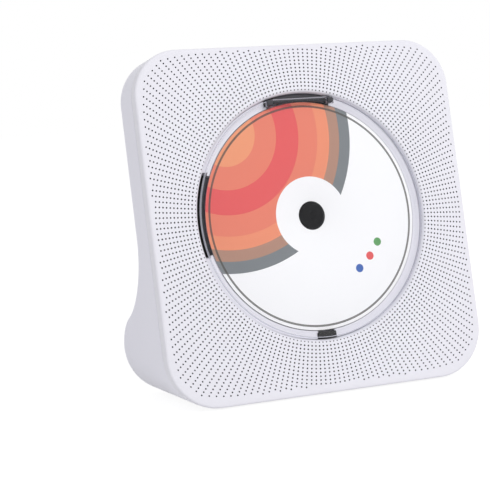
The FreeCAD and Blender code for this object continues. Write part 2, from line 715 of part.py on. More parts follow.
add("damper_screws", *[on_face(moved(damper_screw, u, v, grommet_low)) for u, v in grommet_spots])
add("guide_rods", *[on_face(along_x(rod_radius, rod_in, rod_out, v, -rod_depth))
                    for v in (-rod_offset, rod_offset)])


# Gear teeth with straight flanks, thinned for backlash
tooth_pitch = math.pi * tooth_module
tooth_half = 0.16 * tooth_pitch
flank = math.tan(math.radians(14.0))
root_depth = 1.25 * tooth_module
tip_half = tooth_half - tooth_module * flank
root_half = tooth_half + root_depth * flank


def gear(teeth, low, high, u, v, phase):
    radius = tooth_module * teeth / 2
    points = []
    for index in range(teeth):
        turn = 2 * math.pi * (index + phase) / teeth
        for along, across in ((radius - root_depth, -root_half), (radius + tooth_module, -tip_half),
                              (radius + tooth_module, tip_half), (radius - root_depth, root_half)):
            points.append(Vec(u + along * math.cos(turn) - across * math.sin(turn),
                              v + along * math.sin(turn) + across * math.cos(turn), low))
    return Part.Face(Part.makePolygon(points + points[:1])).extrude(Vec(0, 0, high - low))


# Laser pickup: sled on two rods with its rack, and the lens in its turret
sled = block((sled_centre - sled_half_length, -rod_offset - rod_block_half - 0.9, -sled_back_depth),
             (sled_centre + sled_half_length, rack_base, -sled_front_depth))
turret = block((sled_centre - turret_half_length, -turret_half_width, -sled_front_depth),
               (sled_centre + turret_half_length, turret_half_width, -turret_top_depth))
rack_start = gear_centre_u - sled_travel_out - tooth_pitch
rack_end = gear_centre_u + sled_travel_in + tooth_pitch
rack_root = rack_pitch_line - root_depth
rack_bar = block((rack_start, rack_base, -gear_back_depth), (rack_end, rack_root, -gear_front_depth))
sled_parts = [turret, rack_bar]
teeth_in = math.floor((sled_travel_out + tooth_pitch - root_half) / tooth_pitch - 0.5)
teeth_out = math.floor((sled_travel_in + tooth_pitch - root_half) / tooth_pitch - 0.5)
for index in range(-teeth_in - 1, teeth_out + 1):
    middle = gear_centre_u + (index + 0.5) * tooth_pitch
    points = [Vec(middle - root_half, rack_root - 0.1, -gear_back_depth),
              Vec(middle - tip_half, rack_pitch_line + tooth_module, -gear_back_depth),
              Vec(middle + tip_half, rack_pitch_line + tooth_module, -gear_back_depth),
              Vec(middle + root_half, rack_root - 0.1, -gear_back_depth)]
    sled_parts.append(Part.Face(Part.makePolygon(points + points[:1])).extrude(Vec(0, 0, gear_width)))
sled = sled.fuse(sled_parts).removeSplitter()
sled = sled.cut([along_x(rod_radius + run_gap, -reach, reach, v, -rod_depth)
                 for v in (-rod_offset, rod_offset)])
add("pickup_sled", on_face(sled))
add("pickup_lens", on_face(rod(lens_radius, -turret_top_depth, lens_height - turret_top_depth, sled_centre)))
wheel = gear(gear_teeth, -gear_back_depth, -gear_front_depth, gear_centre_u, gear_v, 0.0)
post_hole = rod(shaft_radius + run_gap, -gear_back_depth - 1.0, 0.0, gear_centre_u, gear_v)
add("sled_gear", on_face(wheel.cut(post_hole)))
clip_front = -gear_back_depth - 2 * run_gap
clip_back = clip_front - clip_thickness
add("gear_clip", on_face(tube(2 * shaft_radius, shaft_radius, clip_back, clip_front, gear_centre_u, gear_v)))
pinion = gear(pinion_teeth, -gear_back_depth, -gear_front_depth, pinion_u, gear_v, 0.5)
shaft_end = sled_motor_front - pinion_shaft_seat
pinion_shaft = rod(pinion_shaft_radius, shaft_end, -gear_front_depth, pinion_u, gear_v)
add("motor_pinion", on_face(pinion.fuse(pinion_shaft).removeSplitter()))
sled_motor = rod(sled_motor_radius, sled_motor_front - sled_motor_length, sled_motor_front, pinion_u, gear_v)
shaft_hole = rod(pinion_shaft_radius + run_gap, shaft_end - run_gap, 0.0, pinion_u, gear_v)
add("sled_motor", on_face(sled_motor.cut(shaft_hole)))

# Loudspeakers: pressed basket, magnet with its ring gap, paper cone with the coil tube
basket_wall = cone_radius + 2 * slip_gap
plate_hole = coil_radius + coil_wall + 2 * slip_gap
magnet_front = speaker_flange_back - basket_depth
basket_back = magnet_front + 1.2
basket_bend = speaker_flange_back - 2.0
basket = [(speaker_radius, speaker_flange_front), (speaker_radius, speaker_flange_back),
          (basket_wall + basket_metal, speaker_flange_back), (basket_wall + basket_metal, basket_bend - 0.3),
          (magnet_radius + 0.9, magnet_front), (plate_hole, magnet_front), (plate_hole, basket_back),
          (magnet_radius - 0.3, basket_back), (basket_wall, basket_bend), (basket_wall, speaker_flange_front)]
frames = []
magnets = []
for u, v in speaker_spots:
    frame = turned(basket, u, v)
    ear_spots = [spot for spot in speaker_screw_spots if spot[0] * u > 0]
    ears = [rod(speaker_ear_radius, speaker_flange_back, speaker_flange_front, su, sv) for su, sv in ear_spots]
    ears = [ear.cut(rod(basket_wall + basket_metal / 2, -reach, reach, u, v)) for ear in ears]
    holes = [rod(screw_hole_radius, -reach, reach, su, sv) for su, sv in ear_spots]
    frame = frame.fuse(ears).removeSplitter().cut(holes)
    frames.append(on_face(frame))
    magnet = rod(magnet_radius, magnet_front - magnet_length, magnet_front, u, v)
    slot_half = coil_wall + coil_gap
    slot_back = magnet_front - magnet_slot
    slot = tube(coil_radius + slot_half, coil_radius - slot_half, slot_back, magnet_front, u, v)
    magnets.append(on_face(magnet.cut(slot)))
add("speaker_frames", *frames)
add("speaker_magnets", *magnets)
cone_top = speaker_flange_front - cone_stroke - 2 * slip_gap
cone_neck = basket_back + cone_stroke + 0.1
coil_end = magnet_front - magnet_slot / 2
coil_out = coil_radius + coil_wall
coil_in = coil_radius - coil_wall
cone = [(0, cone_neck + 1.8), (coil_out + 1.2, cone_neck + 1.0), (cone_radius, cone_top),
        (cone_radius, cone_top - cone_paper), (coil_out, cone_neck), (coil_out, coil_end),
        (coil_in, coil_end), (coil_in, cone_neck + 0.6), (0, cone_neck + 1.4)]
for side, (u, v) in zip(("left", "right"), speaker_spots):
    add("speaker_cone_" + side, on_face(turned(cone, u, v)))
add("speaker_screws", *[on_face(moved(flipped(screw(speaker_flange_front - speaker_flange_back + wall / 2)),
                                      u, v, speaker_flange_back)) for u, v in speaker_screw_spots])

# Keys on the top edge over push switches on a narrow board
key_flange_top = face_top - wall - slip_gap
key_flange_low = key_flange_top - 1.6
stem_low = key_flange_low - 1.8
for name, u in zip(key_names, key_spots):
    cap = pill(key_half_length, key_radius, key_flange_low, face_top + key_proud)
    cap = cap.makeFillet(0.5, [e for e in cap.Edges if e.BoundBox.ZMin > face_top + key_proud - 1e-4])
    flange = pill(key_half_length + 1.5, key_radius + 1.5, key_flange_low, key_flange_top)
    stem = rod(screw_radius, stem_low, key_flange_low)
    add("button_" + name, on_top(cap.fuse([flange, stem]).removeSplitter(), u, 0.0))
board = block((-key_board_half_length, -key_board_half_width, shelf_top),
              (key_board_half_length, key_board_half_width, key_board_top))
board = board.cut([rod(screw_hole_radius, shelf_top - 1.0, key_board_top + 1.0, side) for side in shelf_spots])
add("key_board", on_top(board, 0.0, 0.0))
push_top = stem_low - key_stroke - slip_gap
switches = []
for u in key_spots:
    body_top = push_top - plunger_height
    body = block((-push_half, -push_half, key_board_top), (push_half, push_half, body_top))
    switches.append(on_top(body.fuse(rod(plunger_radius, body_top, push_top)).removeSplitter(), u, 0.0))
add("key_switches", *switches)
key_screw = screw(key_board_thickness + 0.9 * screw_bite)
add("key_screws", *[on_top(key_screw, side, key_board_top) for side in shelf_spots])

# Main board with its larger parts and screws, and the battery
main_board = block((-board_half_length, board_front, board_low), (board_half_length, board_back, board_top))
main_board = main_board.cut([post(screw_hole_radius, 4 * board_thickness, x, y, board_low - board_thickness)
                             for x, y in board_screw_spots])
add("main_board", main_board)
board_screw = screw(board_thickness + 0.8 * standoff)
add("board_screws", *[moved(board_screw, x, y, board_top) for x, y in board_screw_spots])
chip_front = board_front + chip_margin
chip_solids = [block((x - length / 2, chip_front, board_top),
                     (x + length / 2, chip_front + width, board_top + height))
               for x, length, width, height in chips]
chip_solids += [post(capacitor_radius, capacitor_height, x, chip_front + capacitor_radius, board_top)
                for x in capacitor_places]
add("board_parts", *chip_solids)
battery = block((-battery_half_length, battery_front, inner_floor),
                (battery_half_length, battery_back, inner_floor + battery_height))
long_edges = [e for e in battery.Edges if e.BoundBox.XLength > battery_half_length]
add("battery_pack", battery.makeFillet(battery_rounding, long_edges))

# Sockets: power inlet with its pin, sound input, and data socket with its tongue
socket_front = inner_back - socket_length
dc = block((dc_place - dc_half, socket_front, board_top), (dc_place + dc_half, inner_back, dc_axis + dc_half))
dc = dc.fuse(along_y(dc_nose, inner_back, socket_face, dc_place, dc_axis)).removeSplitter()
dc = dc.cut(along_y(dc_bore, socket_face - dc_bore_depth, socket_face + 1.0, dc_place, dc_axis))
inlet_pin = along_y(dc_pin, socket_face - dc_bore_depth - 0.5, socket_face - 1.5, dc_place, dc_axis)
add("dc_socket", dc.fuse(inlet_pin).removeSplitter())
aux = block((aux_place - aux_half, socket_front, board_top),
            (aux_place + aux_half, inner_back, aux_axis + aux_half))
aux = aux.fuse(along_y(aux_nose, inner_back, socket_face, aux_place, aux_axis)).removeSplitter()
aux_hole = along_y(aux_bore, socket_face - aux_bore_depth, socket_face + 1.0, aux_place, aux_axis)
add("aux_socket", aux.cut(aux_hole))
usb = block((usb_place - usb_half, socket_front, board_top),
            (usb_place + usb_half, socket_face, board_top + usb_height))
usb = usb.cut(block((usb_place - usb_half + usb_metal, socket_front + usb_back, board_top + usb_metal),
                    (usb_place + usb_half - usb_metal, foot_y, board_top + usb_height - usb_metal)))
tongue_half = usb_half - usb_tongue_gap
tongue = block((usb_place - tongue_half, socket_front + usb_back / 2, board_top + usb_height / 2),
               (usb_place + tongue_half, socket_face - usb_tongue_gap, board_top + usb_height - usb_tongue_gap))
add("usb_socket", usb.fuse(tongue).removeSplitter())

# Power slide switch: body on the board, knob held behind the wall
knob_rest = switch_place - switch_travel / 2
knob_flange = knob_half + knob_lip
knob_back = inner_back - knob_thickness
knob = block((knob_rest - knob_half, knob_back, knob_axis - knob_rise),
             (knob_rest + knob_half, socket_face, knob_axis + knob_rise))
plate_behind = block((knob_rest - knob_flange, knob_back, knob_axis - knob_rise - knob_lip / 2),
                     (knob_rest + knob_flange, inner_back - slip_gap, knob_axis + knob_rise + knob_lip / 2))
add("switch_knob", knob.fuse(plate_behind).removeSplitter())
switch_front = knob_back - slip_gap
add("switch_body", block((switch_place - switch_half, switch_front - switch_length, board_top),
                          (switch_place + switch_half, switch_front, knob_axis + switch_half / 2)))

# The face's lower edge and the foot's heel set the middle; the pads set the standing level
middle_y = (outer.BoundBox.YMin + outer.BoundBox.YMax) / 2
stand = Vec(0, -middle_y, pad_proud - base_z)
os.makedirs("parts", exist_ok=True)
for name, shape in nodes.items():
    placed = shape.copy()
    placed.translate(stand)
    placed.exportStep("parts/" + name + ".step")
print("face centre", round(stand.y, 3), round(stand.z, 3), "foot", round(foot_y + stand.y, 3))
print("gear", gear_centre_u, round(gear_v, 3), "pinion", pinion_u, "nodes", len(nodes))
for name, shape in nodes.items():
    if not shape.isValid() or min(s.Volume for s in shape.Solids) <= 0:
        print("check", name)
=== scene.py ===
"""Looks of a desk-top compact disc player: white leaning loudspeaker face, disc under a clear round cover,
back that flares into a foot. Metres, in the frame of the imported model."""
import json
import math
import bmesh
import bpy
from mathutils import Matrix, Quaternion, Vector


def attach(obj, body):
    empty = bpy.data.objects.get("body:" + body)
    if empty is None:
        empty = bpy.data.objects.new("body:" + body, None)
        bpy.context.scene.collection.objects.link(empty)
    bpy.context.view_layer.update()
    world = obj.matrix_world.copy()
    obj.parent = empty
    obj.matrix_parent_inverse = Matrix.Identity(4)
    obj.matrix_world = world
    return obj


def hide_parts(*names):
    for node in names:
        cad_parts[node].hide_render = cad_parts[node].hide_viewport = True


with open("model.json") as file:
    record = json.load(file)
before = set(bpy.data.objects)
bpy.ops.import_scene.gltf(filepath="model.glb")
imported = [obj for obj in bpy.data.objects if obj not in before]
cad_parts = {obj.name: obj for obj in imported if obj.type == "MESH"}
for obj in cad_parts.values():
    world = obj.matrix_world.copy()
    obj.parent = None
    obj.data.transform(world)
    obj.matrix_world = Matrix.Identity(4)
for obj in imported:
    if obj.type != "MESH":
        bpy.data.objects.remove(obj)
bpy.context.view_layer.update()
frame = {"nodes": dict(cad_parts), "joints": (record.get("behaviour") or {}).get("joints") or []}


# Rear shell
# The back, sides and foot of the casing in one injection moulding of white ABS, with a fine spark-eroded
# grain outside. Everything else is screwed into it, and its front edge meets the front panel at a seam.
class Value:
    """One output of a shader node. Arithmetic on it adds the Math nodes that work it out."""

    def __init__(self, tree, socket=None):
        self.tree = tree
        self.socket = socket

    def node(self, kind, settings=None, sockets=None, output=0):
        """Add a node, set it up, give its sockets values or links, and wrap one of its outputs."""
        made = self.tree.nodes.new("ShaderNode" + kind)
        for name, value in (settings or {}).items():
            if name == "stops":
                self.fill_ramp(made.color_ramp, value)
            else:
                setattr(made, name, value)
        for name, value in (sockets or {}).items():
            if isinstance(value, Value):
                self.tree.links.new(value.socket, made.inputs[name])
            else:
                made.inputs[name].default_value = value
        return Value(self.tree, made.outputs[output] if made.outputs else None)

    def fill_ramp(self, ramp, stops):
        """Give a ramp its stops, each colour holding up to the next stop."""
        ramp.interpolation = "CONSTANT"
        for place, _ in stops[2:]:
            ramp.elements.new(place)
        for element, (place, colour) in zip(ramp.elements, stops):
            element.position = place
            element.color = colour

    def maths(self, operation, *others):
        values = dict(enumerate((self,) + others))
        return self.node("Math", {"operation": operation}, values)

    def reversed_maths(self, operation, first):
        return self.node("Math", {"operation": operation}, {0: first, 1: self})

    def __add__(self, other):
        return self.maths("ADD", other)

    def __radd__(self, other):
        return self.maths("ADD", other)

    def __sub__(self, other):
        return self.maths("SUBTRACT", other)

    def __rsub__(self, other):
        return self.reversed_maths("SUBTRACT", other)

    def __mul__(self, other):
        return self.maths("MULTIPLY", other)

    def __rmul__(self, other):
        return self.maths("MULTIPLY", other)

    def __truediv__(self, other):
        return self.maths("DIVIDE", other)

    def __lt__(self, other):
        return self.maths("LESS_THAN", other)

    def __gt__(self, other):
        return self.maths("GREATER_THAN", other)

    def root(self):
        return self.maths("SQRT")

    def between(self, first, second):
        """The mix from one colour to another, this value being the share of the second."""
        return self.node("Mix", {"data_type": "RGBA"}, {0: self, 6: first, 7: second}, 2)


def paint(red, green, blue):
    """A colour as it is seen on a screen, from 0 to 255, as the linear colour that a shader takes."""
    linear = [((c / 255 + 0.055) / 1.055) ** 2.4 if c > 10 else c / 255 / 12.92 for c in (red, green, blue)]
    return (*linear, 1.0)


def tinted(colour, share):
    """The same linear colour, lighter or darker by a share."""
    return (*[c * (1 + share) for c in colour[:3]], 1.0)


def new_material(name):
    """An empty node material, and a value that adds nodes to it."""
    material = bpy.data.materials.new(name)
    material.use_nodes = True
    material.node_tree.nodes.clear()
    return material, Value(material.node_tree)


def noise(nodes, size, detail=2.0, vector=None):
    """Soft noise about a given size across, from 0 to 1, on the object's own coordinates."""
    place = vector or nodes.node("TexCoord", output="Object")
    return nodes.node("TexNoise", {}, {"Vector": place, "Scale": 1 / size, "Detail": detail})


def moulded_plastic(name, colour, roughness, grain, relief, drift=0.02, index=1.46):
    """Moulded plastic: an even colour with a faint drift in tone, and a fine grain from the mould."""
    material, nodes = new_material(name)
    tone_size = 0.04
    roughness_swing = 0.12
    fine = noise(nodes, grain)
    tone = noise(nodes, tone_size)
    shader = nodes.node("BsdfPrincipled", {}, {
        "Base Color": tone.between(tinted(colour, -drift), tinted(colour, drift)),
        "Roughness": (fine - 0.5) * roughness_swing + roughness,
        "IOR": index,
        "Normal": nodes.node("Bump", {}, {"Height": fine, "Strength": 0.5, "Distance": relief}),
    })
    nodes.node("OutputMaterial", {}, {"Surface": shader})
    return material


def dress(material, *names):
    """Give CAD nodes a material through their slots."""
    for name in names:
        for place in frame["nodes"][name].material_slots:
            place.material = material


shell_plastic = moulded_plastic("shell_plastic", paint(236, 235, 243), 0.42, 0.0006, 0.00001)
dress(shell_plastic, "rear_shell")


# Base plate and its rubber pads
# A white moulded plate screwed up into the foot, with posts for the board and ribs for the battery. Four
# round pads of black rubber are glued into shallow pockets, and the player stands on them.
rubber = moulded_plastic("rubber", paint(40, 40, 42), 0.75, 0.0004, 0.00003, 0.15)
dress(shell_plastic, "base_plate")
dress(rubber, "rubber_feet", "dampers")


# Screws, pins, rods and other metal pieces
# Turned and rolled steel, plated or blackened: self-tapping screws, the hinge pin, the pickup's two guide
# rods, the gripping balls and the spindle. The mechanism's plate, the motors' cans, the loudspeakers' baskets
# and the data socket's shell are pressed from sheet.
def metal(name, colour, roughness, streak, drift):
    """Plated or ground metal, its gloss broken by fine streaks along one axis."""
    material, nodes = new_material(name)
    streak_size = 0.0006
    cloud_size = 0.006
    roughness_swing = 0.2
    place = nodes.node("TexCoord", output="Object")
    along = nodes.node("Mapping", {}, {"Vector": place, "Scale": streak})
    line = noise(nodes, streak_size, 3.0, along)
    cloud = noise(nodes, cloud_size)
    shader = nodes.node("BsdfPrincipled", {}, {
        "Base Color": cloud.between(tinted(colour, -drift), tinted(colour, drift)),
        "Metallic": 1.0,
        "Roughness": (line - 0.5) * roughness_swing + roughness,
        "Normal": nodes.node("Bump", {}, {"Height": line, "Strength": 0.2, "Distance": 0.00001}),
    })
    nodes.node("OutputMaterial", {}, {"Surface": shader})
    return material


steel = metal("steel", paint(196, 197, 200), 0.25, (0.1, 1.0, 1.0), 0.06)
motor_steel = metal("motor_steel", paint(168, 170, 172), 0.38, (1.0, 0.2, 0.2), 0.12)
socket_metal = metal("socket_metal", paint(188, 186, 180), 0.3, (1.0, 0.3, 1.0), 0.08)
dress(steel, "case_screws", "base_screws", "tray_screws", "damper_screws", "speaker_screws", "key_screws",
      "board_screws", "guide_rods", "hub_balls", "spindle_shaft", "gear_clip", "chassis")
dress(motor_steel, "spindle_motor", "sled_motor", "speaker_frames")
dress(metal("blackened_steel", paint(58, 58, 62), 0.4, (0.1, 1.0, 1.0), 0.1), "hinge_pin")
dress(socket_metal, "usb_socket")


# Boards and what stands on them
# Glass-fibre boards under green lacquer, with copper runs that show through it, black moulded chips and
# switches, and a battery pack in blue shrink film.
def lacquered_board(name):
    """Green lacquer over a weave of glass, with lighter lines where copper runs lie under it."""
    material, nodes = new_material(name)
    weave_size = 0.0008
    roughness = 0.32
    roughness_swing = 0.2
    place = nodes.node("TexCoord", output="Object")
    runs = nodes.node("TexBrick", {"offset": 0.37}, {
        "Vector": place, "Color1": paint(28, 96, 60), "Color2": paint(34, 108, 68),
        "Mortar": paint(72, 132, 78), "Scale": 260.0, "Mortar Size": 0.03,
        "Brick Width": 1.6, "Row Height": 0.35})
    weave = noise(nodes, weave_size)
    shader = nodes.node("BsdfPrincipled", {}, {
        "Base Color": runs, "Roughness": (weave - 0.5) * roughness_swing + roughness,
        "Normal": nodes.node("Bump", {}, {"Height": weave, "Strength": 0.3, "Distance": 0.00002})})
    nodes.node("OutputMaterial", {}, {"Surface": shader})
    return material


board_lacquer = lacquered_board("board_lacquer")
chip_black = moulded_plastic("chip_black", paint(30, 30, 32), 0.55, 0.0003, 0.00002, 0.1)
battery_film = moulded_plastic("battery_film", paint(38, 92, 158), 0.28, 0.004, 0.00015, 0.06)
dress(board_lacquer, "main_board", "key_board")
dress(chip_black, "board_parts", "key_switches", "switch_body")
dress(battery_film, "battery_pack")


# Loudspeakers
# Two small cone loudspeakers behind the lower corners: pressed steel baskets, grey ferrite magnets, paper
# cones, and a round of black woven cloth between each of them and the holes in the face.
def woven_cloth(name):
    """Black cloth of threads that cross at right angles."""
    material, nodes = new_material(name)
    thread_scale = 600.0
    place = nodes.node("TexCoord", output="Object")
    threads = [nodes.node("TexWave", {"bands_direction": way}, {"Vector": place, "Scale": thread_scale}, 1)
               for way in ("X", "Z")]
    height = threads[0] * threads[1]
    shader = nodes.node("BsdfPrincipled", {}, {
        "Base Color": height.between(paint(10, 10, 11), paint(36, 36, 38)), "Roughness": 0.9,
        "Normal": nodes.node("Bump", {}, {"Height": height, "Strength": 0.6, "Distance": 0.0001})})
    nodes.node("OutputMaterial", {}, {"Surface": shader})
    return material


dress(woven_cloth("speaker_cloth"), "grille_cloth")
dress(moulded_plastic("cone_paper", paint(52, 50, 48), 0.85, 0.0012, 0.0001, 0.2),
      "speaker_cone_left", "speaker_cone_right")
dress(moulded_plastic("magnet_ferrite", paint(78, 78, 80), 0.6, 0.0008, 0.00005, 0.15), "speaker_magnets")


# Pickup and its drive
# The sled carries the laser's lens along two rods, moved by a rack, a gear and a pinion on a motor. The gear
# and the pinion are moulded nylon, and the lens is coated glass on the sled's turret.
def coated_glass(name):
    """Blue glass whose coating drifts in tone."""
    material, nodes = new_material(name)
    drift_size = 0.002
    tone = noise(nodes, drift_size)
    shader = nodes.node("BsdfPrincipled", {}, {
        "Base Color": tone.between(paint(40, 60, 120), paint(70, 90, 160)),
        "Roughness": 0.03, "Coat Weight": 1.0})
    nodes.node("OutputMaterial", {}, {"Surface": shader})
    return material


dress(moulded_plastic("nylon", paint(232, 228, 214), 0.5, 0.0006, 0.00001), "sled_gear", "motor_pinion")
dress(coated_glass("lens_glass"), "pickup_lens")


# Sockets, switch and other black mouldings
# Power inlet and sound socket of black moulded plastic stand on the board inside the foot's back wall, with
# the slide switch's knob beside them. The pickup's sled is moulded of the same black plastic.
black_plastic = moulded_plastic("black_plastic", paint(22, 22, 24), 0.38, 0.0004, 0.00001, 0.1)
dress(black_plastic, "dc_socket", "aux_socket", "switch_knob", "pickup_sled")


# Disc tray
# White moulded floor and wall of the well behind the disc, with a raised step round it. It is screwed to
# bosses at the back of the front panel.
tray_plastic = moulded_plastic("tray_plastic", paint(232, 231, 238), 0.35, 0.0006, 0.00001)
dress(tray_plastic, "well_tray")


# Hub and turntable
# Black moulded hub that grips the disc, with a bevelled nose and a dimple, on the flat turntable below it.
# Both are one moulding, pressed on the shaft of the spindle motor.
spin_joint = next(joint for joint in frame["joints"] if joint["name"] == "disc_spin")
face_centre = Vector(spin_joint["pos_m"])
lean = math.asin(spin_joint["axis"][2])
stance = Matrix.Translation(face_centre) @ Matrix.Rotation(math.pi / 2 - lean, 4, "X")
lay_flat = stance.inverted()


def drawn(node):
    """Lowest and highest corner of a CAD node on the face drawing: across, up the face, out of it."""
    points = [lay_flat @ vertex.co for vertex in frame["nodes"][node].data.vertices]
    return [Vector(map(pick, zip(*points))) for pick in (min, max)]


def near(value, target, slack=0.00002):
    """Whether two lengths agree."""
    return abs(value - target) < slack


def reach(point):
    """Distance of a point on the drawing from the face's centre."""
    return math.hypot(point.x, point.y)


def select(kind, test, sharp=False, by_middle=False):
    """In edit mode, select just the vertices, edges or faces whose corners all pass a test of place."""
    sharp_angle = math.radians(50)
    bpy.ops.mesh.select_mode(type=kind)
    bpy.ops.mesh.select_all(action="DESELECT")
    drawing = bmesh.from_edit_mesh(bpy.context.object.data)
    if kind == "VERT":
        for vertex in drawing.verts:
            vertex.select_set(test(vertex.co))
    else:
        for element in (drawing.edges if kind == "EDGE" else drawing.faces):
            wanted = not sharp or element.calc_face_angle(0.0) > sharp_angle
            places = [vertex.co for vertex in element.verts]
            places = [sum(places, Vector()) / len(places)] if by_middle else places
            element.select_set(wanted and all(map(test, places)))
    drawing.select_flush_mode()
    bmesh.update_edit_mesh(bpy.context.object.data)


def begin(name, add, **sizes):
    """Start a piece from one primitive, alone selected and in edit mode."""
    if bpy.context.mode != "OBJECT":
        bpy.ops.object.mode_set(mode="OBJECT")
    bpy.ops.object.select_all(action="DESELECT")
    add(**sizes)
    bpy.ops.object.transform_apply()
    piece = bpy.context.object
    piece.name = name
    bpy.ops.object.mode_set(mode="EDIT")
    bpy.ops.mesh.select_mode(type="VERT")
    return piece


weld_gap = 0.000002


def turn(name, outline, steps, angle=2 * math.pi, start=0.0):
    """Lathe an outline of (radius, height) points about the centre of the face drawing."""
    piece = begin(name, bpy.ops.mesh.primitive_plane_add, size=0.01)
    bpy.ops.mesh.merge(type="CENTER")
    places = [Vector((radius * math.cos(start), radius * math.sin(start), height))
              for radius, height in outline]
    bpy.ops.transform.translate(value=places[0])
    for place, next_place in zip(places, places[1:]):
        bpy.ops.mesh.extrude_vertices_move(TRANSFORM_OT_translate={"value": next_place - place})
    bpy.ops.mesh.select_all(action="SELECT")
    bpy.ops.mesh.spin(steps=steps, angle=angle, center=(0, 0, 0), axis=(0, 0, -1))
    bpy.ops.mesh.select_all(action="SELECT")
    bpy.ops.mesh.remove_doubles(threshold=weld_gap)
    bpy.ops.mesh.normals_make_consistent(inside=False)
    return piece


def round_rings(rings, width, segments):
    """Bevel circular edges, each given by its radius and height on the drawing."""
    for radius, height in rings:
        select("EDGE", lambda point: near(reach(point), radius) and near(point.z, height))
        bpy.ops.mesh.bevel(offset=width, segments=segments, affect="EDGES")


def finish_piece(piece, body, materials, smooth_angle=35.0):
    """Stand a drawn piece up on the leaning face, shade it, and give it its materials and its body."""
    bpy.ops.object.mode_set(mode="OBJECT")
    piece.matrix_world = stance
    bpy.ops.object.transform_apply()
    bpy.ops.object.shade_smooth_by_angle(angle=math.radians(smooth_angle))
    if materials:
        piece.data.materials.clear()
    for material in materials:
        piece.data.materials.append(material)
    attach(piece, body)


hub_low, hub_high = drawn("spindle_hub")
disc_low, disc_high = drawn("disc")
turntable_radius = hub_high.x
hub_radius = 0.0074
nose_radius = 0.0062
dimple_radius = 0.0022
dimple_floor = 0.6 * dimple_radius
dimple_depth = 0.0007
hub_rounding = 0.0003
hub = turn("hub_and_turntable", [
    (0.0, hub_low.z), (turntable_radius, hub_low.z), (turntable_radius, disc_low.z), (hub_radius, disc_low.z),
    (hub_radius, disc_high.z), (nose_radius, hub_high.z), (dimple_radius, hub_high.z),
    (dimple_floor, hub_high.z - dimple_depth), (0.0, hub_high.z - dimple_depth)], 72)
hub_rings = [(hub_radius, disc_high.z), (nose_radius, hub_high.z), (dimple_radius, hub_high.z)]
round_rings(hub_rings, hub_rounding, 3)
hub_plastic = moulded_plastic("hub_plastic", paint(16, 16, 18), 0.5, 0.0004, 0.00001, 0.1, 1.2)
finish_piece(hub, "spindle", [hub_plastic])
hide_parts("spindle_hub")


# Compact disc
# Polycarbonate pressed 1.2 mm thick, silvered below and screen printed above: a plain design of warm rings
# from one side, a bare white middle, a dark border line and a few plain marks.
def printed_label(name):
    """The print on the disc, drawn in millimetres across and up from the disc's centre."""
    material, nodes = new_material(name)
    millimetres = 1000
    place = nodes.node("TexCoord", output="Object")
    flat = nodes.node("Mapping", {"vector_type": "TEXTURE"}, {
        "Vector": place, "Location": face_centre, "Rotation": (math.pi / 2 - lean, 0.0, 0.0)})
    across = nodes.node("SeparateXYZ", {}, {0: flat}, 0) * millimetres
    up = nodes.node("SeparateXYZ", {}, {0: flat}, 1) * millimetres

    def distance(u, v):
        return ((across - u) * (across - u) + (up - v) * (up - v)).root()

    white = paint(254, 254, 254)
    band_centre = (-44.0, 46.0)
    band_reach = 100.0
    bands = [(0.0, paint(242, 157, 116)), (0.17, paint(235, 130, 106)), (0.29, paint(231, 92, 92)),
             (0.42, paint(235, 130, 106)), (0.53, paint(240, 147, 112)), (0.60, paint(178, 137, 118)),
             (0.66, paint(123, 128, 131)), (0.72, white)]
    share = distance(*band_centre) / band_reach
    colour = nodes.node("ValToRGB", {"stops": bands}, {"Fac": share})
    radius = distance(0.0, 0.0)
    middle_radius = 20.6
    colour = (radius < middle_radius).between(colour, white)
    dot_radius = 2.2
    dots = [(24.0, -30.0, paint(65, 105, 180)), (31.0, -24.0, paint(231, 92, 92)),
            (36.5, -17.0, paint(96, 160, 96))]
    for u, v, ink in dots:
        colour = (distance(u, v) < dot_radius).between(colour, ink)
    line_radius = 57.8
    line_width = 1.1
    line_cover = 0.85
    in_line = (radius > line_radius - line_width / 2) * (radius < line_radius + line_width / 2)
    colour = (in_line * line_cover).between(colour, paint(74, 72, 66))
    ink_grain = 0.0005
    roughness = 0.38
    roughness_swing = 0.1
    fine = noise(nodes, ink_grain)
    shader = nodes.node("BsdfPrincipled", {}, {
        "Base Color": colour, "Roughness": (fine - 0.5) * roughness_swing + roughness, "Coat Weight": 0.15,
        "Normal": nodes.node("Bump", {}, {"Height": fine, "Strength": 0.2, "Distance": 0.000005})})
    nodes.node("OutputMaterial", {}, {"Surface": shader})
    return material


def silvered(name):
    """Clear pressed plastic over aluminium: mirror bright, with a faint drift from cool to warm."""
    material, nodes = new_material(name)
    drift_size = 0.015
    tone = noise(nodes, drift_size)
    shader = nodes.node("BsdfPrincipled", {}, {
        "Base Color": tone.between(paint(214, 216, 228), paint(226, 220, 214)), "Metallic": 0.9,
        "Roughness": 0.12, "Coat Weight": 0.6})
    nodes.node("OutputMaterial", {}, {"Surface": shader})
    return material


disc_radius = disc_high.x
centre_hole = 0.0075
ring_inner = 0.0168
ring_outer = 0.0176
ring_groove = 0.0002
disc_rounding = 0.0002
label_facing = 0.5
disc = turn("compact_disc", [
    (centre_hole, disc_high.z), (disc_radius, disc_high.z), (disc_radius, disc_low.z),
    (ring_outer, disc_low.z), (ring_outer, disc_low.z + ring_groove), (ring_inner, disc_low.z + ring_groove),
    (ring_inner, disc_low.z), (centre_hole, disc_low.z), (centre_hole, disc_high.z)], 160)
disc_rings = [(disc_radius, disc_high.z), (disc_radius, disc_low.z), (centre_hole, disc_high.z)]
round_rings(disc_rings, disc_rounding, 2)
finish_piece(disc, "spindle", [printed_label("label_print"), silvered("silvered_side")])
for face in disc.data.polygons:
    face.material_index = 0 if (lay_flat.to_3x3() @ face.normal).z > label_facing else 1
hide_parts("disc")


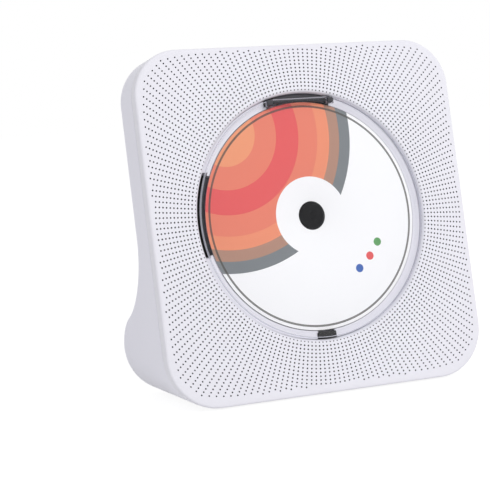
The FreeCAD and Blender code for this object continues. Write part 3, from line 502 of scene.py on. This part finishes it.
# Front panel
# Injection-moulded white ABS: a flat leaning face with rows of small round sound holes in rings about the
# disc, a rim turned back to the seam, and an edge rolled into the disc well. Screwed on from behind.
def apply_modifier(piece, kind, **settings):
    """Add a modifier to the active piece, set it up and apply it."""
    bpy.ops.object.mode_set(mode="OBJECT")
    bpy.ops.object.modifier_add(type=kind)
    modifier = piece.modifiers[-1]
    for name, value in settings.items():
        setattr(modifier, name, value)
    bpy.ops.object.modifier_apply(modifier=modifier.name)


def cut(piece, tool, operation="DIFFERENCE"):
    """Cut a tool's shape out of a piece, or join it on, and throw the tool away."""
    bpy.ops.object.mode_set(mode="OBJECT")
    bpy.ops.object.select_all(action="DESELECT")
    piece.select_set(True)
    bpy.context.view_layer.objects.active = piece
    apply_modifier(piece, "BOOLEAN", operation=operation, object=tool, solver="MANIFOLD")
    bpy.data.objects.remove(tool)


panel_high = drawn("front_panel")[1]
half_width = panel_high.x
face_top = panel_high.y
face_bottom = 0.0928
top_corner = 0.025
bottom_corner = 0.027
rim_depth = 0.0055
rim_round = 0.0015
well_radius = 0.0648
well_roll = 0.0023
lip_depth = 0.0045
flat_start = 0.0672
wall = 0.0022
corner_steps = 49
well_steps = 4 * (corner_steps + 1)
flat_margin = 0.0003
seam_break = 0.0003
base_rise = rim_depth * math.tan(lean)


def from_rim(across, up):
    """How far inside the panel's outline a place lies."""
    corner = top_corner if up > 0 else bottom_corner
    side = half_width - abs(across)
    end = face_top - up if up > 0 else face_bottom + up
    if side < corner and end < corner:
        return corner - math.hypot(corner - side, corner - end)
    return min(side, end)


def on_outline(point):
    """Whether a point at the back of the rim lies on its outer edge, where the base slopes up."""
    lift = base_rise if point.y < 0 else 0.0
    return from_rim(point.x, point.y - lift) < wall / 2


panel = begin("face_panel", bpy.ops.mesh.primitive_plane_add, size=1.0)
bpy.ops.transform.resize(value=(2 * half_width, face_top + face_bottom - base_rise, 1.0))
bpy.ops.transform.translate(value=(0.0, (face_top - face_bottom + base_rise) / 2, -rim_depth))
select("VERT", lambda point: point.y > 0)
bpy.ops.mesh.bevel(offset=top_corner, segments=corner_steps, affect="VERTICES")
select("VERT", lambda point: near(point.y, base_rise - face_bottom))
bpy.ops.mesh.bevel(offset=bottom_corner, segments=corner_steps, affect="VERTICES")
select("FACE", lambda point: True)
bpy.ops.mesh.extrude_region_move(TRANSFORM_OT_translate={"value": (0.0, 0.0, rim_depth)})
select("VERT", lambda point: near(point.z, 0.0) and point.y < 0)
bpy.ops.transform.translate(value=(0.0, -base_rise, 0.0))
select("FACE", lambda point: near(point.z, -rim_depth))
bpy.ops.mesh.delete(type="FACE")
select("FACE", lambda point: near(point.z, 0.0))
bpy.ops.mesh.inset(thickness=rim_round + flat_margin)
bpy.ops.object.vertex_group_assign_new()
bpy.ops.mesh.delete(type="ONLY_FACE")
bpy.ops.mesh.primitive_circle_add(vertices=well_steps, radius=well_radius, location=(0, 0, -lip_depth))
bpy.ops.mesh.extrude_edges_move(TRANSFORM_OT_translate={"value": (0.0, 0.0, lip_depth)})
bpy.ops.mesh.extrude_edges_move()
spread = flat_start / well_radius
bpy.ops.transform.resize(value=(spread, spread, 1.0), center_override=(0, 0, 0))
select("VERT", lambda point: near(reach(point), flat_start))
bpy.ops.object.vertex_group_select()
bpy.ops.mesh.select_mode(type="EDGE")
bpy.ops.mesh.fill(use_beauty=False)
panel.vertex_groups.clear()
bpy.ops.mesh.select_all(action="SELECT")
bpy.ops.mesh.normals_make_consistent(inside=False)
apply_modifier(panel, "SOLIDIFY", thickness=wall, offset=-1.0, use_even_offset=True)
bpy.ops.object.mode_set(mode="EDIT")
select("EDGE", lambda point: near(reach(point), well_radius) and near(point.z, 0.0))
bpy.ops.mesh.bevel(offset=well_roll, segments=8, affect="EDGES")
select("EDGE", lambda point: near(point.z, 0.0), sharp=True)
bpy.ops.mesh.bevel(offset=rim_round, segments=5, affect="EDGES")
select("EDGE", lambda point: near(point.z, -rim_depth) and on_outline(point), sharp=True)
bpy.ops.mesh.bevel(offset=seam_break, segments=2, affect="EDGES")

# The first row of sound holes lies in the roll: shallow drillings, fainter than the rest
spokes = 200
row_pitch = 0.00195
first_row = 35
faint_radius = 0.00034
faint_depth = 0.0007
panel_plastic = moulded_plastic("panel_plastic", paint(233, 232, 238), 0.42, 0.0006, 0.00001)
# Painted shade: the walls and floors of the shallow sound holes are near-black. This stands in for the shade
# deep inside real through-holes and for the black cloth seen through them.
holes_shade_and_cloth = moulded_plastic("holes_shade_and_cloth", paint(26, 26, 29), 0.7, 0.0004, 0.00001, 0.1)


def drill_colours(piece):
    """Give a piece the panel's plastic first and, second, the near-black of the holes: painted shade on their
    walls and floors, with the black cloth behind.
    """
    piece.data.materials.append(panel_plastic)
    piece.data.materials.append(holes_shade_and_cloth)


def spin_spokes():
    """Repeat what is drawn on one spoke round the whole face."""
    bpy.ops.mesh.select_all(action="SELECT")
    bpy.ops.mesh.spin(steps=spokes - 1, dupli=True, angle=2 * math.pi * (spokes - 1) / spokes,
                      center=(0, 0, 0), axis=(0, 0, 1))


drills = begin("drills", bpy.ops.mesh.primitive_cylinder_add, vertices=8, radius=faint_radius,
               depth=2 * faint_depth, location=((first_row - 1) * row_pitch, 0.0, 0.0))
spin_spokes()
bpy.ops.object.mode_set(mode="OBJECT")
for piece in (panel, drills):
    drill_colours(piece)
# Every face of the faint holes in the roll takes the holes' painted shade.
for face in drills.data.polygons:
    face.material_index = 1
cut(panel, drills)

# The other sound holes: one spoke of cells with a hole in each, turned round the face. A cell is inset to
# start its hole, and the cells past the edge of the field are deleted
last_row = 64
sound_hole_radius = 0.00046
sound_hole_depth = 0.0009
cell_inset = 0.0005
inset_reach = 0.0006
inset_slack = 0.0003
hole_reach = 0.0005
hole_share = 0.3
field_half = 0.0885
field_corner = 0.0273
field_edge = 0.0002


def in_hole(point):
    """Whether a point of the first spoke lies on the outline of a hole or inside it."""
    rows = point.x / row_pitch
    return abs(rows - round(rows)) < hole_share and abs(point.y) < hole_reach


def cell_place(point):
    """The row radius and the spoke angle of the cell that a point lies in."""
    turns = math.atan2(point.y, point.x) / (2 * math.pi)
    return round(reach(point) / row_pitch) * row_pitch, round(turns * spokes) / spokes * 2 * math.pi


def off_field(point):
    """Whether a point's cell has its hole past the edge of the field."""
    row, spoke = cell_place(point)
    hole = row * math.cos(spoke), row * math.sin(spoke)
    over = [max(abs(place) - field_half + field_corner, 0.0) for place in hole]
    return math.hypot(*over) > field_corner or max(map(abs, hole)) > field_half - field_edge


def over_rim(point):
    """Whether a flat face belongs to a cell that reaches into the rounding of the rim."""
    row, spoke = cell_place(point)
    corners = [(row + a * row_pitch / 2, spoke + b * math.pi / spokes) for a in (-1, 1) for b in (-1, 1)]
    room = min(from_rim(r * math.cos(angle), r * math.sin(angle)) for r, angle in corners)
    return near(point.z, 0.0) and room < rim_round + 2 * flat_margin


field_end = (last_row + 0.5) * row_pitch
half_cell = field_end * math.tan(math.pi / spokes)
field = begin("hole_field", bpy.ops.mesh.primitive_plane_add, size=0.01)
bpy.ops.mesh.merge(type="CENTER")
bpy.ops.mesh.extrude_vertices_move(TRANSFORM_OT_translate={"value": (field_end, -half_cell, 0.0)})
bpy.ops.mesh.extrude_vertices_move(TRANSFORM_OT_translate={"value": (0.0, 2 * half_cell, 0.0)})
bpy.ops.mesh.select_all(action="SELECT")
bpy.ops.mesh.edge_face_add()
bpy.ops.mesh.bisect(plane_co=(0, 0, 0), plane_no=(0, 1, 0))
for half_row in range(2 * first_row - 1, 2 * last_row + 1):
    bpy.ops.mesh.select_all(action="SELECT")
    bpy.ops.mesh.bisect(plane_co=(half_row * row_pitch / 2, 0, 0), plane_no=(1, 0, 0),
                        clear_inner=half_row == 2 * first_row - 1)
for row in range(first_row, last_row + 1):
    select("VERT", lambda point: near(point.y, 0.0) and near(point.x, row * row_pitch))
    bpy.ops.mesh.dissolve_verts()
select("FACE", lambda point: True)
bpy.ops.mesh.inset(thickness=cell_inset, use_individual=True)
for row in range(first_row, last_row + 1):
    middle = Vector((row * row_pitch, 0.0, 0.0))
    inner_edge = middle.x * math.tan(math.pi / spokes) - inset_slack
    select("VERT", lambda point: near(point.x, middle.x, inset_reach) and abs(point.y) < inner_edge)
    bpy.ops.transform.tosphere(value=1.0)
    round_hole = [vertex.co for vertex in bmesh.from_edit_mesh(field.data).verts if vertex.select]
    size = sound_hole_radius * len(round_hole) / sum((point - middle).length for point in round_hole)
    bpy.ops.transform.resize(value=(size, size, 1.0), center_override=middle)
select("FACE", in_hole)
bpy.ops.mesh.extrude_region_move(TRANSFORM_OT_translate={"value": (0.0, 0.0, -sound_hole_depth)})
drill_colours(field)
bpy.ops.object.mode_set(mode="OBJECT")
# Faces sunk below the face take the holes' painted shade.
below_face = -0.1 * sound_hole_depth
for face in field.data.polygons:
    face.material_index = int(face.center.z < below_face)
bpy.ops.object.mode_set(mode="EDIT")
spin_spokes()
bpy.ops.mesh.select_all(action="SELECT")
bpy.ops.mesh.remove_doubles(threshold=weld_gap)
for test in (off_field, over_rim):
    select("FACE", test, by_middle=True)
    bpy.ops.mesh.delete(type="FACE")

# The flat of the panel gives way to that field, and the bands left on both sides of it are filled
bpy.ops.object.mode_set(mode="OBJECT")
bpy.ops.object.select_all(action="DESELECT")
panel.select_set(True)
bpy.context.view_layer.objects.active = panel
bpy.ops.object.mode_set(mode="EDIT")
edge_slack = 0.00001
select("FACE", lambda point: near(point.z, 0.0) and reach(point) > flat_start - edge_slack)
bpy.ops.mesh.delete(type="FACE")
bpy.ops.object.mode_set(mode="OBJECT")
field.select_set(True)
bpy.ops.object.join()
bpy.ops.object.mode_set(mode="EDIT")
bpy.ops.mesh.select_mode(type="EDGE")
bpy.ops.mesh.select_all(action="DESELECT")
bpy.ops.mesh.select_non_manifold(use_wire=False, use_multi_face=False, use_non_contiguous=False,
                                 use_verts=False)
bpy.ops.mesh.fill(use_beauty=False)
bpy.ops.mesh.select_all(action="SELECT")
bpy.ops.mesh.normals_make_consistent(inside=False)
finish_piece(panel, "casing", [], smooth_angle=50.0)
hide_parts("front_panel")


# Hinge block, catch and lifting recess
# Dark mouldings let into the ring round the disc: a bar at the top with two ears for the cover's pin, a small
# black latch at the bottom, and a grey pocket on the left where a finger lifts the cover. Its outer edge
# carries a near-black strip of painted shade. The strip stands where the gap between the pocket and the
# panel's rolled edge lies in deep shadow.
def arc_bar(name, radii, levels, angles, rounding):
    """A bar of rectangular section bent round the face's centre, between two angles in degrees."""
    (inner, outer), (low, high) = radii, levels
    facet = math.radians(1.5)
    turning = math.radians(angles[1] - angles[0])
    outline = [(inner, low), (outer, low), (outer, high), (inner, high), (inner, low)]
    piece = turn(name, outline, max(4, int(turning / facet)), turning, math.radians(angles[0]))
    bpy.ops.mesh.fill_holes(sides=4)
    bpy.ops.mesh.normals_make_consistent(inside=False)
    select("EDGE", lambda point: True, sharp=True)
    bpy.ops.mesh.bevel(offset=rounding, segments=2, affect="EDGES")
    return piece


block_outer = 0.0645
block_inner = 0.061
hinge_low, hinge_high = drawn("hinge_block")
block_top = -0.003
pin_height = 0.060
ear_inner = 0.016
ear_outer = 0.019
ear_radius = 0.0015
ear_lower = -0.1 * ear_radius
ear_root = 0.0005
ear_rounding = 0.0002
block_rounding = 0.0003
half_turn = math.degrees(math.asin(hinge_high.x / block_outer))
hinge = arc_bar("hinge_bar", (block_inner, block_outer), (hinge_low.z, block_top),
                (90 - half_turn, 90 + half_turn), block_rounding)
for side in (-1, 1):
    middle = side * (ear_inner + ear_outer) / 2
    ear = begin("ear", bpy.ops.mesh.primitive_cylinder_add, vertices=32, radius=ear_radius,
                depth=ear_outer - ear_inner, rotation=(0, math.pi / 2, 0), location=(middle, pin_height, 0.0))
    select("VERT", lambda point: point.z < ear_lower)
    bpy.ops.transform.resize(value=(1.0, 1.0, 0.0), center_override=(0, 0, block_top - ear_root))
    select("EDGE", lambda point: True, sharp=True)
    bpy.ops.mesh.bevel(offset=ear_rounding, segments=2, affect="EDGES")
    cut(hinge, ear, "UNION")
hinge_plastic = moulded_plastic("hinge_plastic", paint(60, 59, 64), 0.42, 0.0004, 0.00001, 0.1)
finish_piece(hinge, "casing", [hinge_plastic])
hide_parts("hinge_block")

catch_low, catch_high = drawn("cover_catch")
catch_turn = math.degrees(math.asin(catch_high.x / block_outer))
catch = arc_bar("catch_block", (block_inner, block_outer), (catch_low.z, catch_high.z),
                (270 - catch_turn, 270 + catch_turn), block_rounding)
finish_piece(catch, "casing", [black_plastic])
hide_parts("cover_catch")

recess_low, recess_high = drawn("finger_recess")
recess_inner = 0.058
recess_rounding = 0.0002
recess_from = 180 - math.degrees(math.asin(recess_high.y / block_outer))
recess_to = 180 - math.degrees(math.asin(recess_low.y / block_outer))
recess = arc_bar("lift_recess", (recess_inner, block_outer), (recess_low.z, recess_high.z),
                 (recess_from, recess_to), recess_rounding)
pocket_plastic = moulded_plastic("pocket_plastic", paint(94, 94, 101), 0.42, 0.0004, 0.00001, 0.1)
finish_piece(recess, "casing", [pocket_plastic])
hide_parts("finger_recess")

# Painted shadow: a near-black strip along the pocket's outer edge, standing in for the deep shade of the gap
# between the pocket and the panel's rolled edge.
shade_strip_inner = 0.0613
shade_strip_proud = 0.0004
shade_strip_seat = 0.0002
painted_gap_shade = moulded_plastic("painted_gap_shade", paint(6, 6, 7), 0.9, 0.0005, 0.0001, 0.2)
gap_shade_strip = arc_bar("recess_gap_shade_strip", (shade_strip_inner, block_outer),
               (recess_high.z - shade_strip_seat, recess_high.z + shade_strip_proud),
               (recess_from, recess_to), recess_rounding)
finish_piece(gap_shade_strip, "casing", [painted_gap_shade])


# Ledge strips round the disc
# Thin white ABS strips against the inside of the tray's raised step and level with it, so that no dark slot
# shows round the disc. They stop at the hinge block, the catch and the recess.
step_inner = 0.0616
strip_gap = 0.0003
strip_inner = disc_radius + strip_gap
strip_thickness = 0.001
strip_seat = 0.00005
strip_rounding = 0.0001
strip_spans = {"upper": (90 + half_turn, recess_from), "lower": (recess_to, 270 - catch_turn),
               "right": (270 + catch_turn, 450 - half_turn)}
for side, span in strip_spans.items():
    strip = arc_bar("ledge_strip_" + side, (strip_inner, step_inner + strip_seat),
                    (block_top - strip_thickness, block_top), span, strip_rounding)
    finish_piece(strip, "casing", [tray_plastic])


# Clear dust cover
# A round plate of clear acrylic, 2 mm thick with polished rounded edges, that swings up on the steel pin at
# its upper edge. The edge is cut straight there, and notched round the two ears.
def clear_acrylic(name, tint, milk):
    """Clear plastic: see-through, tinted at a glancing look, glossy outside, with some milkiness."""
    material, nodes = new_material(name)
    haze_size = 0.01
    haze_base = 0.95
    haze_swing = 0.1
    polish = 0.02
    glance_power = 3.0
    haze = noise(nodes, haze_size)
    outside = 1 - nodes.node("NewGeometry", output="Backfacing")
    sheen = nodes.node("Fresnel", {}, {"IOR": 1.3}) * (haze * haze_swing + haze_base) * outside
    glancing = nodes.node("LayerWeight", {}, {"Blend": 0.5}, "Facing").maths("POWER", glance_power)
    straight = nodes.node("BsdfTransparent", {}, {"Color": (1.0, 1.0, 1.0, 1.0)})
    slanting = nodes.node("BsdfTransparent", {}, {"Color": tint})
    clear = nodes.node("MixShader", {}, {0: glancing, 1: straight, 2: slanting})
    gloss = nodes.node("BsdfPrincipled", {}, {
        "Base Color": paint(250, 250, 255), "Metallic": 1.0, "Roughness": haze * polish + polish})
    body = nodes.node("BsdfPrincipled", {}, {
        "Base Color": haze.between(paint(206, 207, 218), paint(216, 217, 226)), "Roughness": 0.15})
    clear = nodes.node("MixShader", {}, {0: haze * haze_swing * milk + haze_base * milk, 1: clear, 2: body})
    shader = nodes.node("MixShader", {}, {0: sheen, 1: clear, 2: gloss})
    nodes.node("OutputMaterial", {}, {"Surface": shader})
    return material


cover_low, cover_high = drawn("dust_cover")
cover_radius = cover_high.x
cover_thickness = cover_high.z - cover_low.z
trim_height = cover_high.y
cover_rounding = 0.35 * cover_thickness
ear_gap = 0.0004
cover = begin("clear_cover", bpy.ops.mesh.primitive_cylinder_add, vertices=192, radius=cover_radius,
              depth=cover_thickness)
bpy.ops.mesh.select_all(action="SELECT")
bpy.ops.mesh.bisect(plane_co=(0, trim_height, 0), plane_no=(0, 1, 0), use_fill=True, clear_outer=True)
select("EDGE", lambda point: True, sharp=True)
bpy.ops.mesh.bevel(offset=cover_rounding, segments=4, affect="EDGES")
for side in (-1, 1):
    notch = begin("notch", bpy.ops.mesh.primitive_cube_add, size=1.0)
    notch_low = pin_height - ear_radius - ear_gap
    notch_height = 2 * (trim_height - notch_low)
    bpy.ops.transform.resize(value=(ear_outer - ear_inner + 2 * ear_gap, notch_height, 4 * cover_thickness))
    bpy.ops.transform.translate(value=(side * (ear_inner + ear_outer) / 2, notch_low + notch_height / 2, 0.0))
    cut(cover, notch)
acrylic_tint = paint(196, 200, 214)
finish_piece(cover, "cover", [clear_acrylic("clear_acrylic", acrylic_tint, 0.0),
                                               clear_acrylic("acrylic_edge", acrylic_tint, 0.5)])
flat_facing = 0.9
for face in cover.data.polygons:
    face.material_index = int(abs((lay_flat.to_3x3() @ face.normal).z) < flat_facing)
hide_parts("dust_cover")


# Keys
# Five white push keys of smooth ABS in the top edge, each a round-ended cap that slides in its own slot of
# the rear shell above a push switch. A flange under the shell's wall keeps it in.
key_plastic = moulded_plastic("key_plastic", paint(240, 240, 245), 0.32, 0.0005, 0.000005)
dress(key_plastic, "button_power", "button_previous", "button_play", "button_next", "button_mode")


# Studio
# A pale floor that reaches back out of sight under plain soft light from two lamps and the sky, and the
# camera. None of it belongs to the player.
def seen_directly(nodes):
    """1 for what the camera sees, also in gloss or through clear pieces, and 0 for light on the player."""
    seen = nodes.node("LightPath", output="Is Camera Ray")
    for ray in ("Is Glossy Ray", "Is Transmission Ray"):
        seen = seen.maths("MAXIMUM", nodes.node("LightPath", output=ray))
    return seen


def studio_floor(name):
    """White to the camera with a faint shadow, and plain pale matt to the light."""
    material, nodes = new_material(name)
    tone_size = 0.5
    tone = noise(nodes, tone_size)
    pale = tone.between(paint(236, 236, 236), paint(240, 240, 240))
    matt = nodes.node("BsdfDiffuse", {}, {"Color": pale})
    faint = nodes.node("BsdfDiffuse", {}, {"Color": (0.2, 0.2, 0.2, 1.0)})
    glow = nodes.node("Emission", {}, {"Color": (1, 1, 1, 1), "Strength": 0.9})
    lit = nodes.node("AddShader", {}, {0: faint, 1: glow})
    shader = nodes.node("MixShader", {}, {0: seen_directly(nodes), 1: matt, 2: lit})
    nodes.node("OutputMaterial", {}, {"Surface": shader})
    return material


floor_size = 12.0
begin("studio_floor", bpy.ops.mesh.primitive_plane_add, size=floor_size)
bpy.ops.object.mode_set(mode="OBJECT")
floor = bpy.context.object
floor.data.materials.append(studio_floor("pale_floor"))

world = bpy.data.worlds.new("studio")
bpy.context.scene.world = world
world.use_nodes = True
world.node_tree.nodes.clear()
sky = Value(world.node_tree)
ambient = sky.node("Background", {}, {"Color": (0.96, 0.96, 1.0, 1.0), "Strength": 0.55})
white = sky.node("Background", {}, {"Color": (1.0, 1.0, 1.0, 1.0), "Strength": 1.0})
backdrop = sky.node("MixShader", {}, {0: seen_directly(sky), 1: ambient, 2: white})
sky.node("OutputWorld", {}, {"Surface": backdrop})


def soft_lamp(name, place, size, watts):
    """A square lamp aimed at the middle of the player."""
    lamp = bpy.data.lights.new(name, "AREA")
    lamp.size = size
    lamp.energy = watts
    holder = bpy.data.objects.new(name, lamp)
    bpy.context.scene.collection.objects.link(holder)
    holder.location = place
    holder.visible_glossy = False
    holder.rotation_euler = (face_centre - Vector(place)).to_track_quat("-Z", "Y").to_euler()


lamp_size = 1.2
soft_lamp("front_lamp", (0.7, -1.6, 1.3), lamp_size, 21.5)
soft_lamp("left_lamp", (-1.6, -0.4, 1.2), lamp_size, 5.0)

camera_data = bpy.data.cameras.new("camera")
camera = bpy.data.objects.new("camera", camera_data)
bpy.context.scene.collection.objects.link(camera)
bpy.context.scene.camera = camera
camera_data.lens = 115.93
camera_data.sensor_width = 36.0
camera_offset = Vector((-0.3668, -0.7338, 0.0674))
camera.location = face_centre + camera_offset
sight = Vector((0.4046, 0.9092, -0.0986))
camera_roll = math.radians(-3.08)
camera.rotation_mode = "QUATERNION"
camera.rotation_quaternion = sight.to_track_quat("-Z", "Y") @ Quaternion((0, 0, 1), camera_roll)
bpy.context.scene.view_settings.view_transform = "Standard"
